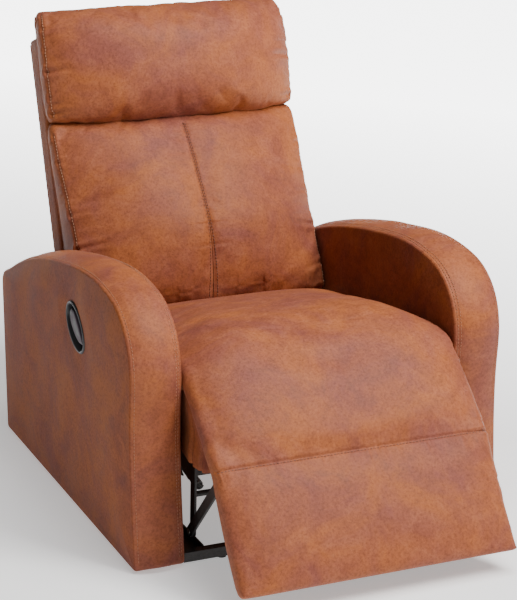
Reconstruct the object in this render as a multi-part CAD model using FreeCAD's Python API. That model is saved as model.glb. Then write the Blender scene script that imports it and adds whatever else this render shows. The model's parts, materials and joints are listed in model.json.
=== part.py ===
"""Recliner armchair with a lever-released leg rest and a push-back back.

Millimetres, +Z up.  The sitter faces -Y, so the sitter's right hand is at -X.
The chair is drawn about the middle of the arms' depth (y = 0); the finished
solids are moved back by ORIGIN_SHIFT_Y, which puts the origin on the floor
under the middle of the whole chair.
"""
import FreeCAD, Part
import math
import os

V = FreeCAD.Vector
os.makedirs("parts", exist_ok=True)

# ---------------------------------------------------------------- driving sizes
ORIGIN_SHIFT_Y = 100.0      # middle of the whole chair to the middle of the arms
ARM_OUTER = 400.0           # half of the overall width
ARM_INNER = 294.0           # half of the clear width between the arms
PANEL_THICK = 12.0          # padded side panels of an arm
BAND_THICK = 25.0           # padded band over the top and front of an arm
ARM_BOTTOM = 4.0            # arms stand this high on their glides
ARM_REAR = 433.0
ARM_FRONT = -450.0          # front foot of an arm
ARM_REAR_CORNER = 360.0     # height where the arm's rear edge starts to round over

SEAT_HALF = 288.0           # half width of the seat cushion
BACK_HALF = 290.0           # half width of the back
PAD_HALF = 287.0            # half width of the leg rest

BACK_HINGE = (235.0, 290.0)             # (y, z) of the recline axis
BACK_TILT = math.radians(17.3)          # rearward lean of the back at rest
SEAT_FRONT = -386.0                     # front end of the seat's side rails
SEAT_RAIL_TOP = 315.0                   # rail height there
SEAT_SLOPE = 0.17                       # fall of the seat rails towards the rear

LEG_POLE = (-560.0, 470.0)              # pole about which the leg rest turns
LEG_PIVOT = (-400.0, 308.0)             # swing arm's pivot on the seat plate
LEG_ARM = (16.4, -265.9)                # from that pivot to the lower rivet, at rest
LEG_CLOSED = -32.0                      # turn of the leg rest to its stowed place
CROSS_TUBE_AT = 0.696                   # place of the cross tube along the swing arm
CROSS_TUBE_R = 6.0
PAD_SEAM = (-602.0, 256.0)              # stitched seam across the leg rest
PAD_END = (-734.0, 56.0)                # lower edge of the leg rest
PAD_THICK = 50.0
BOARD_THICK = 10.0

PLATE_IN = 244.0            # steel side plates lie at this |x| ...
PLATE_OUT = 248.0
LINK_IN = 250.0             # ... links and brackets in the next layer out
LINK_OUT = 255.0
DIAGONAL_IN = 257.0         # ... and the diagonal links in the third
DIAGONAL_OUT = 262.0
PIN_R = 4.0
HINGE_PIN_R = 6.0
RUN_FIT = 0.05              # radial clearance of a hole that turns on its pin

LINK_FRONT = ((-150.0, 165.0), (-170.0, 40.0))   # front seat carrier, top and base pivots
LINK_REAR = ((80.0, 165.0), (60.0, 40.0))        # rear seat carrier
LINK_DROP = 4.9             # how far a top pivot falls either side of the slot's middle
SLOT_MIDDLE_Z = 161.9
SLOT_SIDE_GAP = 0.9
SPRING_PEG = (-240.0, 152.0)            # peg on each side plate that holds a return spring

HANDLE = (-126.0, 412.0)    # middle of the release handle on the outer arm panel
HANDLE_LONG = 67.0          # half length of its oval bezel
HANDLE_SHORT = 39.0
HANDLE_TILT = math.radians(33.0)        # rise of its long axis towards the rear
CUP_DEPTH = 30.0
HANDLE_PIN_R = 3.0

# ------------------------------------------------------------------ small tools


def yz_wire(points):
    """Closed polygon in the plane x = 0."""
    corners = [V(0, y, z) for y, z in points]
    return Part.makePolygon(corners + corners[:1])


def slab(points, x_low, x_high):
    """A polygon of (y, z) points, extruded along X."""
    face = Part.Face(yz_wire(points))
    face.translate(V(x_low, 0, 0))
    return face.extrude(V(x_high - x_low, 0, 0))


def block(x, y, z):
    """Box from three (low, high) pairs."""
    return Part.makeBox(x[1] - x[0], y[1] - y[0], z[1] - z[0], V(x[0], y[0], z[0]))


def rod(x_low, x_high, point, radius):
    """Cylinder along X at a (y, z) point."""
    return Part.makeCylinder(radius, x_high - x_low, V(x_low, point[0], point[1]), V(1, 0, 0))


def side_span(side, inner, outer):
    """The (low, high) X range of a layer on one side of the chair."""
    return (inner, outer) if side > 0 else (-outer, -inner)


def bar(side, inner, outer, start, end, width):
    """Flat link with round ends between two (y, z) points, in one layer."""
    low, high = side_span(side, inner, outer)
    dy = end[0] - start[0]
    dz = end[1] - start[1]
    length = math.hypot(dy, dz)
    ny = -dz / length * width / 2
    nz = dy / length * width / 2
    corners = [
        (start[0] + ny, start[1] + nz), (end[0] + ny, end[1] + nz),
        (end[0] - ny, end[1] - nz), (start[0] - ny, start[1] - nz),
    ]
    link = slab(corners, low, high)
    for point in (start, end):
        link = link.fuse(rod(low, high, point, width / 2))
    return link.removeSplitter()


def square_tube(x_half, y, z, wall):
    """Square steel tube along X."""
    outer = block((-x_half, x_half), y, z)
    inner = block((-x_half, x_half), (y[0] + wall, y[1] - wall), (z[0] + wall, z[1] - wall))
    return outer.cut(inner)


def soften(shape, radius, keep):
    """Round the edges that the test function picks."""
    edges = [edge for edge in shape.Edges if keep(edge)]
    return shape.makeFillet(radius, edges)


def turned(point, centre, degrees):
    """A (y, z) point turned about a centre, positive towards an open leg rest."""
    angle = math.radians(degrees)
    y = point[0] - centre[0]
    z = point[1] - centre[1]
    return (centre[0] + y * math.cos(angle) + z * math.sin(angle),
            centre[1] - y * math.sin(angle) + z * math.cos(angle))


def save(name, shapes):
    """Write one node; a list becomes a group of separate solids."""
    shape = Part.makeCompound(shapes) if isinstance(shapes, list) else shapes
    shape = shape.copy()
    shape.translate(V(0, ORIGIN_SHIFT_Y, 0))
    shape.exportStep("parts/%s.step" % name)


def side_name(side):
    return "left" if side > 0 else "right"


# ------------------------------------------------------------------------- arms


def arm_top_curve():
    """Long rising top of an arm, from its rear corner over the nose to the front."""
    top = [(395, 393), (203, 471), (43, 511), (-100, 534), (-213, 544), (-300, 538),
           (-378, 515), (-424, 472), (-445, 397), (-440, 340), (-436, 290), (-436, 190), (-441, 110),
           (ARM_FRONT + 3, 45)]
    curve = Part.BSplineCurve()
    curve.interpolate([V(0, y, z) for y, z in top])
    return curve


def arm_outline(inset=0.0):
    """Side face of an arm, drawn inset from its outer edge."""
    outer = arm_top_curve()
    first = outer.FirstParameter
    last = outer.LastParameter
    samples = 18
    moved = []
    for step in range(samples + 1):
        place = first + (last - first) * step / samples
        tangent = outer.tangent(place)[0]
        moved.append(outer.value(place) + V(0, -tangent.z, tangent.y) * inset)
    curve = Part.BSplineCurve()
    curve.interpolate(moved)
    rear = ARM_REAR - inset
    front = ARM_FRONT + inset
    floor = ARM_BOTTOM + inset
    corner_top = V(0, rear, ARM_REAR_CORNER - inset / 2)
    bend = V(0, (rear + moved[0].y) / 2 + 8, (corner_top.z + moved[0].z) / 2 + 7)
    foot = [moved[-1], V(0, front, floor), V(0, rear, floor), corner_top]
    lines = [Part.LineSegment(a, b).toShape() for a, b in zip(foot, foot[1:])]
    corner = Part.Arc(corner_top, bend, moved[0])
    return Part.Wire([curve.toShape()] + lines + [corner.toShape()])


def arm_slab(side, inner, outer, inset=0.0):
    low, high = side_span(side, inner, outer)
    face = Part.Face(arm_outline(inset))
    face.translate(V(low, 0, 0))
    return face.extrude(V(high - low, 0, 0))


def handle_oval(half_long, half_short, x_low, x_high):
    """Oval plug square to the arm, tilted like the handle."""
    ellipse = Part.Ellipse(V(0, 0, 0), half_long, half_short)
    plug = Part.Face(Part.Wire(ellipse.toShape())).extrude(V(0, 0, x_high - x_low))
    plug.rotate(V(0, 0, 0), V(0, 0, 1), math.degrees(HANDLE_TILT))
    plug.rotate(V(0, 0, 0), V(1, 1, 1), 120)
    plug.translate(V(x_low, HANDLE[0], HANDLE[1]))
    return plug


def arm_timber(side):
    """Wooden frame inside an arm, glued up from two posts and two rails."""
    low, high = side_span(side, ARM_INNER + PANEL_THICK, 360.0)
    front_post = slab([(-400, ARM_BOTTOM), (-355, ARM_BOTTOM), (-355, 470), (-400, 440)], low, high)
    rear_post = slab([(360, ARM_BOTTOM), (405, ARM_BOTTOM), (405, 345), (360, 362)], low, high)
    foot_rail = slab([(-355, ARM_BOTTOM), (360, ARM_BOTTOM), (360, 52), (-355, 52)], low, high)
    top_rail = slab([(-355, 430), (-355, 483), (-213, 505), (43, 475), (203, 434), (360, 370),
                     (360, 325), (203, 390), (43, 432), (-213, 462)], low, high)
    return front_post.fuse([rear_post, foot_rail, top_rail]).removeSplitter()


def make_arms():
    glides = []
    for side in (1, -1):
        name = side_name(side)
        outer = arm_slab(side, ARM_OUTER - PANEL_THICK, ARM_OUTER)
        inner = arm_slab(side, ARM_INNER, ARM_INNER + PANEL_THICK)
        band_in = ARM_INNER + PANEL_THICK
        band_out = ARM_OUTER - PANEL_THICK
        band = arm_slab(side, band_in, band_out).cut(arm_slab(side, band_in, band_out, BAND_THICK))
        low, high = side_span(side, band_in, band_out)
        foot_gap = block((low, high), (-405, ARM_REAR - BAND_THICK), (0, 60))
        band = band.cut(foot_gap)
        if side < 0:
            opening = handle_oval(HANDLE_LONG - 8, HANDLE_SHORT - 8, -ARM_OUTER, -(ARM_OUTER - PANEL_THICK))
            outer = outer.cut(opening)
        save("arm_side_panel_" + name, outer)
        save("arm_inner_panel_" + name, inner)
        save("arm_band_" + name, band)
        save("arm_frame_" + name, arm_timber(side))
        for y in (-378, 382):
            middle = side * 335.0
            glides.append(Part.makeCylinder(15, ARM_BOTTOM, V(middle, y, 0)))
    save("arm_glides", glides)


# --------------------------------------------------------------- release handle


def handle_point(along, across):
    """A (y, z) point in the handle's own axes: along its length, across to the upper front."""
    y = HANDLE[0] + along * math.cos(HANDLE_TILT) - across * math.sin(HANDLE_TILT)
    z = HANDLE[1] + along * math.sin(HANDLE_TILT) + across * math.cos(HANDLE_TILT)
    return (y, z)


def make_handle():
    face = -ARM_OUTER
    flange = handle_oval(HANDLE_LONG, HANDLE_SHORT, face - 4, face)
    cup = handle_oval(HANDLE_LONG - 8, HANDLE_SHORT - 8, face, face + CUP_DEPTH)
    hollow = handle_oval(HANDLE_LONG - 11, HANDLE_SHORT - 11, face - 4, face + CUP_DEPTH - 3)
    bezel = flange.fuse(cup).cut(hollow)
    pin_point = handle_point(38, -3)
    pin_y, pin_z = pin_point
    pin_axis = V(0, -math.sin(HANDLE_TILT), math.cos(HANDLE_TILT))
    pin_x = face + 10
    pin = Part.makeCylinder(HANDLE_PIN_R, 70, V(pin_x, pin_y, pin_z) - pin_axis * 35, pin_axis)
    pin = pin.common(handle_oval(HANDLE_LONG - 8, HANDLE_SHORT - 8, face, face + CUP_DEPTH))
    save("handle_bezel", bezel.cut(pin))
    save("handle_pin", pin)
    save("handle_paddle", paddle(pin_x, pin_axis, pin_point))


def paddle(pin_x, pin_axis, pin_point):
    """Leaf-shaped pull with a hub that turns on the pin and an open finger gap above it."""
    leaf_points = [(41, 7), (44, -2), (39, -11), (18, -17), (-14, -15), (-36, -7), (-45, 1),
                   (-36, 4), (-12, 5), (16, 8)]
    leaf = slab([handle_point(a, b) for a, b in leaf_points], -ARM_OUTER - 3, -ARM_OUTER + 3)
    middle = V(pin_x, pin_point[0], pin_point[1])
    hub = Part.makeCylinder(6.5, 14, middle - pin_axis * 7, pin_axis)
    neck = slab([handle_point(a, b) for a, b in [(43, -10), (43, 4), (33, 4), (33, -10)]],
                -ARM_OUTER + 3, pin_x)
    whole = leaf.fuse([hub, neck])
    hole = Part.makeCylinder(HANDLE_PIN_R + RUN_FIT, 70, middle - pin_axis * 35, pin_axis)
    return whole.cut(hole).removeSplitter()


def tube_along(points, radius):
    """Round tube whose path is straight runs joined by tangent arcs."""
    edges = []
    here = points[0]
    for before, corner, after in zip(points, points[1:], points[2:]):
        first = (before - corner)
        second = (after - corner)
        short = min(first.Length, second.Length)
        first.normalize()
        second.normalize()
        half_turn = (math.pi - first.getAngle(second)) / 2
        reach = 0.45 * short
        bend = reach / math.tan(half_turn)
        enter = corner + first * reach
        leave = corner + second * reach
        inward = first + second
        inward.normalize()
        middle = corner + inward * (bend / math.cos(half_turn) - bend)
        edges.append(Part.LineSegment(here, enter).toShape())
        edges.append(Part.Arc(enter, middle, leave).toShape())
        here = leave
    edges.append(Part.LineSegment(here, points[-1]).toShape())
    path = Part.Wire(edges)
    direction = points[1] - points[0]
    ring = Part.Wire(Part.Circle(points[0], direction, radius).toShape())
    return path.makePipeShell([ring], True, False)


def make_cable():
    """Release cable inside the right arm, from the cup down and through the inner panel."""
    start = handle_point(20, 0)
    x = -ARM_OUTER + CUP_DEPTH
    points = [V(x - 4, start[0], start[1] - 12), V(x + 6, start[0] + 4, start[1] - 70),
              V(x + 6, start[0] + 14, start[1] - 150), V(x + 20, start[0] + 30, start[1] - 235),
              V(x + 60, start[0] + 44, 130), V(-ARM_INNER, start[0] + 50, 118)]
    save("release_cable", tube_along(points, 2.5))


# ------------------------------------------------------------------------- base


def make_base():
    feet = []
    bolts = []
    pins = []
    for side in (1, -1):
        low, high = side_span(side, PLATE_IN, ARM_INNER)
        channel = block((low, high), (-420, 400), (8, 60))
        gap_low, gap_high = side_span(side, PLATE_OUT, ARM_INNER - 4)
        channel = channel.cut(block((gap_low, gap_high), (-420, 400), (12, 60)))
        lip_low, lip_high = side_span(side, ARM_INNER - 4, ARM_INNER)
        channel = channel.cut(block((lip_low, lip_high), (-420, 400), (44, 60)))
        # the inner flange is tall only around the carriers' pivots
        flange_low, flange_high = side_span(side, PLATE_IN, PLATE_OUT)
        for span in ((-420, -205), (-135, 25), (95, 400)):
            channel = channel.cut(block((flange_low, flange_high), span, (26, 60)))
        for top, foot in (LINK_FRONT, LINK_REAR):
            channel = channel.cut(rod(flange_low, flange_high, foot, PIN_R))
            pin_low, pin_high = side_span(side, PLATE_IN - 3, LINK_OUT + 3)
            pins.append(rod(pin_low, pin_high, foot, PIN_R))
        for y in (-380, 370):
            bolt_low, bolt_high = side_span(side, ARM_INNER - 9, 345)
            bolts.append(rod(bolt_low, bolt_high, (y, 28), PIN_R))
            feet.append(Part.makeCylinder(14, 8, V(side * 268, y, 0)))
        save("base_rail_" + side_name(side), channel)
    save("front_base_tube", square_tube(ARM_INNER, (-440, -420), (4, 24), 2))
    save("rear_base_tube", square_tube(ARM_INNER, (400, 420), (4, 24), 2))
    for x in (-210, 210):
        feet.append(Part.makeCylinder(9, 4, V(x, -430, 0)))
        feet.append(Part.makeCylinder(9, 4, V(x, 410, 0)))
    save("base_feet", feet)
    save("base_bolts", bolts)
    save("base_link_pins", pins)


# ------------------------------------------------------------------------- seat


def rail_top(y):
    return SEAT_RAIL_TOP - SEAT_SLOPE * (y - SEAT_FRONT)


def seat_box():
    """Wooden seat frame: two side rails, a front rail and a rear rail."""
    rear = 200.0
    depth = 100.0
    for side in (1, -1):
        low, high = side_span(side, PLATE_IN - 24, PLATE_IN)
        rail = slab([(SEAT_FRONT, rail_top(SEAT_FRONT)), (SEAT_FRONT, rail_top(SEAT_FRONT) - depth),
                     (rear, rail_top(rear) - depth), (rear, rail_top(rear))], low, high)
        save("seat_side_rail_" + side_name(side), rail)
    inner = PLATE_IN - 24
    for name, y in (("seat_front_rail", (SEAT_FRONT, SEAT_FRONT + 22)), ("seat_rear_rail", (160, 185))):
        top = [(y[0], rail_top(y[0])), (y[1], rail_top(y[1]))]
        foot = [(y[1], rail_top(y[1]) - 80), (y[0], rail_top(y[0]) - 80)]
        save(name, slab(top + foot, -inner, inner))


def pivot_slot(low, high, point):
    """Upright slot in which a carrier's top pin slides."""
    half = LINK_DROP + 1.0
    wide = PIN_R + SLOT_SIDE_GAP
    slot = block((low, high), (point[0] - wide, point[0] + wide), (SLOT_MIDDLE_Z - half, SLOT_MIDDLE_Z + half))
    for z in (SLOT_MIDDLE_Z - half, SLOT_MIDDLE_Z + half):
        slot = slot.fuse(rod(low, high, (point[0], z), wide))
    return slot


def tube_sweep(low, high):
    """Curved slot that the leg rest's cross tube swings through as it closes."""
    radius = math.hypot(*LEG_ARM) * CROSS_TUBE_AT
    clear = CROSS_TUBE_R + 2
    ring = rod(low, high, LEG_PIVOT, radius + clear).cut(rod(low, high, LEG_PIVOT, radius - clear))
    y_closed, z_closed = turned(tube_middle(), LEG_PIVOT, LEG_CLOSED)
    reach = block((low, high), (-420, y_closed), (0, LEG_PIVOT[1]))
    return ring.common(reach).fuse(rod(low, high, (y_closed, z_closed), clear))


def tube_middle():
    """Middle of the cross tube at rest."""
    return (LEG_PIVOT[0] + LEG_ARM[0] * CROSS_TUBE_AT, LEG_PIVOT[1] + LEG_ARM[1] * CROSS_TUBE_AT)


def mechanism_plates():
    outline = [(-416, 312), (-416, 298), (-398, 284), (-384, 276), (-384, 150), (-345, 138),
               (95, 84), (160, 84), (200, 150), (258, 268), (258, 300), (246, 312), (226, 312),
               (205, 296), (196, 205), (-380, 300), (-384, 318), (-410, 318)]
    hinge_pins = []
    leg_pins = []
    for side in (1, -1):
        low, high = side_span(side, PLATE_IN, PLATE_OUT)
        plate = slab(outline, low, high)
        for top, foot in (LINK_FRONT, LINK_REAR):
            plate = plate.cut(pivot_slot(low, high, top))
        plate = plate.cut(rod(low, high, LEG_PIVOT, PIN_R)).cut(rod(low, high, BACK_HINGE, HINGE_PIN_R))
        plate = plate.cut(tube_sweep(low, high))
        peg_low, peg_high = side_span(side, PLATE_IN - 18, PLATE_IN)
        plate = plate.fuse(rod(peg_low, peg_high, SPRING_PEG, 3.0))
        save("mechanism_plate_" + side_name(side), plate)
        pin_low, pin_high = side_span(side, PLATE_IN - 3, LINK_OUT + 4)
        hinge_pins.append(rod(pin_low, pin_high, BACK_HINGE, HINGE_PIN_R))
        leg_pins.append(rod(pin_low, pin_high, LEG_PIVOT, PIN_R))
    save("back_hinge_pins", hinge_pins)
    save("leg_pivot_pins", leg_pins)


def sinuous_spring(x, y_start, y_end):
    """Flat zigzag spring wire running front to rear along the sloping rail tops."""
    wire_r = 1.8
    half = 18.0
    loops = 16
    pitch = (y_end - y_start) / loops
    radius = pitch / 2
    edges = []
    direction = 1
    y = y_start
    for loop in range(loops):
        edges.append(Part.LineSegment(V(x - direction * (half - radius), y, 0),
                                      V(x + direction * (half - radius), y, 0)).toShape())
        edges.append(Part.Arc(V(x + direction * (half - radius), y, 0),
                              V(x + direction * half, y + radius, 0),
                              V(x + direction * (half - radius), y + pitch, 0)).toShape())
        direction = -direction
        y += pitch
    edges.append(Part.LineSegment(V(x - direction * (half - radius), y, 0),
                                  V(x + direction * (half - radius), y, 0)).toShape())
    path = Part.Wire(edges)
    ring = Part.Wire(Part.Circle(V(x - (half - radius), y_start, 0), V(1, 0, 0), wire_r).toShape())
    spring = path.makePipeShell([ring], True, False)
    spring.rotate(V(0, SEAT_FRONT, 0), V(1, 0, 0), -math.degrees(math.atan(SEAT_SLOPE)))
    spring.translate(V(0, 0, SEAT_RAIL_TOP + wire_r + 0.1))
    return spring


def seat_cushion():
    """Plain crowned solid: a domed top carried on a flat base, with rounded long edges."""
    base = 6.0
    outline = [(182, rail_top(182) + base), (182, 330), (16, 376), (-121, 398), (-250, 416),
               (-344, 422), (-400, 420), (-436, 404), (-450, 380), (-448, 345),
               (-436, 326), (SEAT_FRONT, rail_top(SEAT_FRONT) + base)]
    cushion = slab(outline, -SEAT_HALF, SEAT_HALF)
    return soften(cushion, 16.0, top_side_edge)


def top_side_edge(edge):
    """Long edges at the two side faces that lie above the rails."""
    box = edge.BoundBox
    at_side = box.XLength < 1 and abs(abs(box.XMin) - SEAT_HALF) < 1
    return at_side and box.ZMin > rail_top(box.YMin) + 60 and box.YMax < 100


def make_seat():
    seat_box()
    mechanism_plates()
    save("front_apron", block((-242, 242), (SEAT_FRONT - 6, SEAT_FRONT), (192, 316)))
    save("front_cross_rail", square_tube(PLATE_IN, (-375, -350), (155, 190), 2))
    save("rear_cross_rail", square_tube(PLATE_IN, (118, 143), (90, 112), 2))
    springs = [sinuous_spring(x, SEAT_FRONT + 10, 176) for x in (-165, -55, 55, 165)]
    save("seat_springs", springs)
    save("seat_cushion", seat_cushion())


def carriers():
    """Swing links that carry the seat on the base; the upper pin belongs to the link."""
    for name, (top, foot) in (("front", LINK_FRONT), ("rear", LINK_REAR)):
        for side in (1, -1):
            low, high = side_span(side, LINK_IN, LINK_OUT)
            link = bar(side, LINK_IN, LINK_OUT, top, foot, 22)
            link = link.cut(rod(low, high, foot, PIN_R + RUN_FIT))
            pin_low, pin_high = side_span(side, PLATE_IN + 0.3, LINK_OUT + 2)
            link = link.fuse(rod(pin_low, pin_high, top, PIN_R))
            save("%s_swing_link_%s" % (name, side_name(side)), link)


# ------------------------------------------------------------------------- back


def back_point(up, rearward):
    """(y, z) of a point given along the back and square to it, from the hinge."""
    y = BACK_HINGE[0] + up * math.sin(BACK_TILT) + rearward * math.cos(BACK_TILT)
    z = BACK_HINGE[1] + up * math.cos(BACK_TILT) - rearward * math.sin(BACK_TILT)
    return (y, z)


def back_slab(points, x_low, x_high):
    return slab([back_point(u, v) for u, v in points], x_low, x_high)


def back_block(x, up, rearward):
    corners = [(up[0], rearward[0]), (up[1], rearward[0]), (up[1], rearward[1]), (up[0], rearward[1])]
    return back_slab(corners, x[0], x[1])


SHELL_REAR = 103.0
SHELL_FRONT = 33.0
SHELL_TOP = 659.0
SHELL_FOOT = 25.0
TIMBER = (45.0, 93.0)       # rearward span of the back's wooden frame


def back_frame():
    for side in (1, -1):
        low, high = side_span(side, LINK_OUT, LINK_OUT + 25)
        save("back_stile_" + side_name(side), back_block((low, high), (40, 640), TIMBER))
    rails = (("back_bottom_rail", (60, 110), LINK_IN), ("back_top_rail", (590, 640), LINK_OUT))
    for name, span, half in rails:
        save(name, back_block((-half, half), span, TIMBER))


def back_brackets():
    bolts = []
    outline = [(-16, -9), (-16, 9), (30, 52), (36, 92), (200, 92), (200, 56), (70, 50), (18, -6), (9, -16), (-9, -16)]
    for side in (1, -1):
        low, high = side_span(side, LINK_IN, LINK_OUT)
        bracket = back_slab(outline, low, high)
        bracket = bracket.cut(rod(low, high, BACK_HINGE, HINGE_PIN_R + RUN_FIT))
        for up in (80, 170):
            bolt_low, bolt_high = side_span(side, LINK_IN, LINK_OUT + 20)
            bolts.append(rod(bolt_low, bolt_high, back_point(up, 74), PIN_R))
        save("back_bracket_" + side_name(side), bracket)
    save("back_bracket_bolts", bolts)


def back_shell():
    """Upholstered outer of the back: a rear panel with two side walls and a top."""
    outer = back_block((-BACK_HALF, BACK_HALF), (SHELL_FOOT, SHELL_TOP), (SHELL_FRONT, SHELL_REAR))
    hollow = back_block((-BACK_HALF + 10, BACK_HALF - 10), (SHELL_FOOT, SHELL_TOP - 12), (SHELL_FRONT, SHELL_REAR - 10))
    return outer.cut(hollow)


def make_back():
    back_frame()
    back_brackets()
    save("back_shell", back_shell())
    save("back_springs", [sinuous_back_spring(up) for up in (190, 290, 390, 490)])
    cushion = back_slab([(60, 24), (48, -62), (62, -112), (112, -132), (193, -136), (267, -114),
                         (357, -78), (424, -44), (432, -20), (436, 30)], -SEAT_HALF, SEAT_HALF)
    save("back_cushion", cushion)
    pillow = back_slab([(440, 30), (440, -34), (446, -66), (490, -82), (580, -88), (660, -80),
                        (700, -52), (712, -12), (704, 26), (668, 38), (662, 31)], -BACK_HALF, BACK_HALF)
    save("head_pillow", pillow)


def sinuous_back_spring(up):
    """Zigzag spring wire running across the back between the stiles."""
    spring = sinuous_spring(0, -262, 262)
    spring.translate(V(0, 0, -SEAT_RAIL_TOP - 1.9))
    spring.rotate(V(0, SEAT_FRONT, 0), V(1, 0, 0), math.degrees(math.atan(SEAT_SLOPE)))
    spring.rotate(V(0, 0, 0), V(0, 0, 1), 90)
    spring.rotate(V(0, 0, 0), V(1, 0, 0), 90 - math.degrees(BACK_TILT))
    y, z = back_point(up, TIMBER[0] - 2.1)
    spring.translate(V(0, y, z))
    return spring


# --------------------------------------------------------------------- leg rest


def pad_point(along, behind):
    """(y, z) of a point below the seam and behind the lower pad's face."""
    dy = PAD_END[0] - PAD_SEAM[0]
    dz = PAD_END[1] - PAD_SEAM[1]
    length = math.hypot(dy, dz)
    dy /= length
    dz /= length
    return (PAD_SEAM[0] + dy * along - dz * behind, PAD_SEAM[1] + dz * along + dy * behind)


def pad_block(x, along, behind):
    corners = [(along[0], behind[0]), (along[1], behind[0]), (along[1], behind[1]), (along[0], behind[1])]
    return slab([pad_point(a, b) for a, b in corners], x[0], x[1])


def make_leg_rest():
    length = math.hypot(PAD_END[0] - PAD_SEAM[0], PAD_END[1] - PAD_SEAM[1])
    lower = [(2, 8), (14, 0), (length - 20, 0), (length, 16), (length - 4, 36), (length - 24, PAD_THICK), (2, PAD_THICK)]
    save("lower_leg_pad", slab([pad_point(a, b) for a, b in lower], -PAD_HALF, PAD_HALF))
    board = pad_block((-PAD_HALF + 12, PAD_HALF - 12), (6, length - 30), (PAD_THICK, PAD_THICK + BOARD_THICK))
    save("leg_rest_board", board)
    upper = [(-458, 386), pad_point(-2, 0), pad_point(-2, PAD_THICK), (-456, 312)]
    save("upper_leg_pad", slab(upper, -PAD_HALF, PAD_HALF))
    rivet = upper_rivet()
    for side in (1, -1):
        low, high = side_span(side, LINK_IN, LINK_OUT)
        web = slab([pad_point(30, 60), pad_point(150, 60), pad_point(150, 76), pad_point(60, 84),
                    pad_point(20, 91), pad_point(0, 84), pad_point(0, 70)], low, high)
        foot_low, foot_high = side_span(side, LINK_IN - 25, LINK_OUT)
        foot = pad_block((foot_low, foot_high), (40, 150), (60, 64))
        bracket = web.fuse(foot).cut(rod(low, high, rivet, PIN_R + RUN_FIT))
        save("leg_rest_bracket_" + side_name(side), bracket.removeSplitter())


def upper_rivet():
    """Upper rivet, where the diagonal link holds the leg rest."""
    return (LEG_POLE[0] + LEG_ARM[0], LEG_POLE[1] + LEG_ARM[1])


def make_leg_linkage():
    low_rivet = (LEG_PIVOT[0] + LEG_ARM[0], LEG_PIVOT[1] + LEG_ARM[1])
    high_rivet = upper_rivet()
    for side in (1, -1):
        low, high = side_span(side, LINK_IN, LINK_OUT)
        arm = bar(side, LINK_IN, LINK_OUT, LEG_PIVOT, low_rivet, 22)
        arm = arm.cut(rod(low, high, LEG_PIVOT, PIN_R + RUN_FIT))
        stud_low, stud_high = side_span(side, LINK_OUT, DIAGONAL_OUT + 2)
        arm = arm.fuse(rod(stud_low, stud_high, low_rivet, PIN_R))
        save("leg_swing_arm_" + side_name(side), arm)
        diagonal = bar(side, DIAGONAL_IN, DIAGONAL_OUT, low_rivet, high_rivet, 22)
        low, high = side_span(side, DIAGONAL_IN, DIAGONAL_OUT)
        diagonal = diagonal.cut(rod(low, high, low_rivet, PIN_R + RUN_FIT))
        stud_low, stud_high = side_span(side, LINK_IN - 2, DIAGONAL_IN)
        diagonal = diagonal.fuse(rod(stud_low, stud_high, high_rivet, PIN_R))
        save("diagonal_link_" + side_name(side), diagonal)
    save("leg_cross_tube", rod(-LINK_IN, LINK_IN, tube_middle(), CROSS_TUBE_R))
    save("return_springs", [coil_spring(side) for side in (1, -1)])


def coil_spring(side):
    """Close-wound tension spring from a swing arm back to the seat plate."""
    wire_r = 1.6
    coil_r = 8.0
    start = V(side * 232, -368, 130)
    end = V(side * 232, SPRING_PEG[0] - 6, SPRING_PEG[1] - 3)
    length = (end - start).Length
    helix = Part.makeHelix(5.0, length, coil_r)
    ring = Part.Wire(Part.Circle(V(coil_r, 0, 0), V(0, 1, 0), wire_r).toShape())
    coil = Part.Wire(helix.Edges).makePipeShell([ring], True, True)
    turn = FreeCAD.Rotation(V(0, 0, 1), end - start)
    coil.Placement = FreeCAD.Placement(start, turn)
    return coil


def main():
    make_arms()
    make_handle()
    make_cable()
    make_base()
    make_seat()
    carriers()
    make_back()
    make_leg_rest()
    make_leg_linkage()


main()
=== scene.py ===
"""Looks of the recliner armchair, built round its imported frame.

Shapes are drawn in millimetres about the middle of the arms' depth, as the
frame was, and go to metres in the row's own frame when their mesh is made.
+Z is up, the sitter faces -Y, and the release handle is at -X.
"""

import json
import math

import bmesh
import bpy
import numpy as np
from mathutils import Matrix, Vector
from mathutils.bvhtree import BVHTree


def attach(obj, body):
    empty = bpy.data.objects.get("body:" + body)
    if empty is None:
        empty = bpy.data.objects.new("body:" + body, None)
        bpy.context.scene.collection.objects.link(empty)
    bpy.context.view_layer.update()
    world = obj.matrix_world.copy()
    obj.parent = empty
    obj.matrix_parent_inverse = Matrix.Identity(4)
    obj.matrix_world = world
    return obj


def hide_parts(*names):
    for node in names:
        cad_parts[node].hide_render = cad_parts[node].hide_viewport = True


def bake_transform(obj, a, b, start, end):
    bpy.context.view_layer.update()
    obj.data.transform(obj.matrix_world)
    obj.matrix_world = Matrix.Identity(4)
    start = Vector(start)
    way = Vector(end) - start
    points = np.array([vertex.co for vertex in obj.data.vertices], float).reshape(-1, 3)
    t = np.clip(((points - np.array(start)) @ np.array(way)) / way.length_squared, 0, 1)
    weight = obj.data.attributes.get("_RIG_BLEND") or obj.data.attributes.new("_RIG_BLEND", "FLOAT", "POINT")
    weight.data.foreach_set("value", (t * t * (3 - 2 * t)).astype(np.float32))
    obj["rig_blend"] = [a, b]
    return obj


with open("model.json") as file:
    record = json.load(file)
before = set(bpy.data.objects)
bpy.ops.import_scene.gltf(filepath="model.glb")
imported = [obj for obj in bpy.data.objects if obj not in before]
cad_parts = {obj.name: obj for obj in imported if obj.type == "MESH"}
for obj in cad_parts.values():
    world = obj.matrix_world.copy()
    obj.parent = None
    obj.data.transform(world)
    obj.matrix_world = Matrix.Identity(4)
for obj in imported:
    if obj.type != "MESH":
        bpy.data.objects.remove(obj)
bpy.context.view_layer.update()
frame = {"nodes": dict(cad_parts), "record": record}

# ---- driving sizes
ORIGIN_SHIFT_Y = 100.0
ARM_OUTER = 400.0
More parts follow.
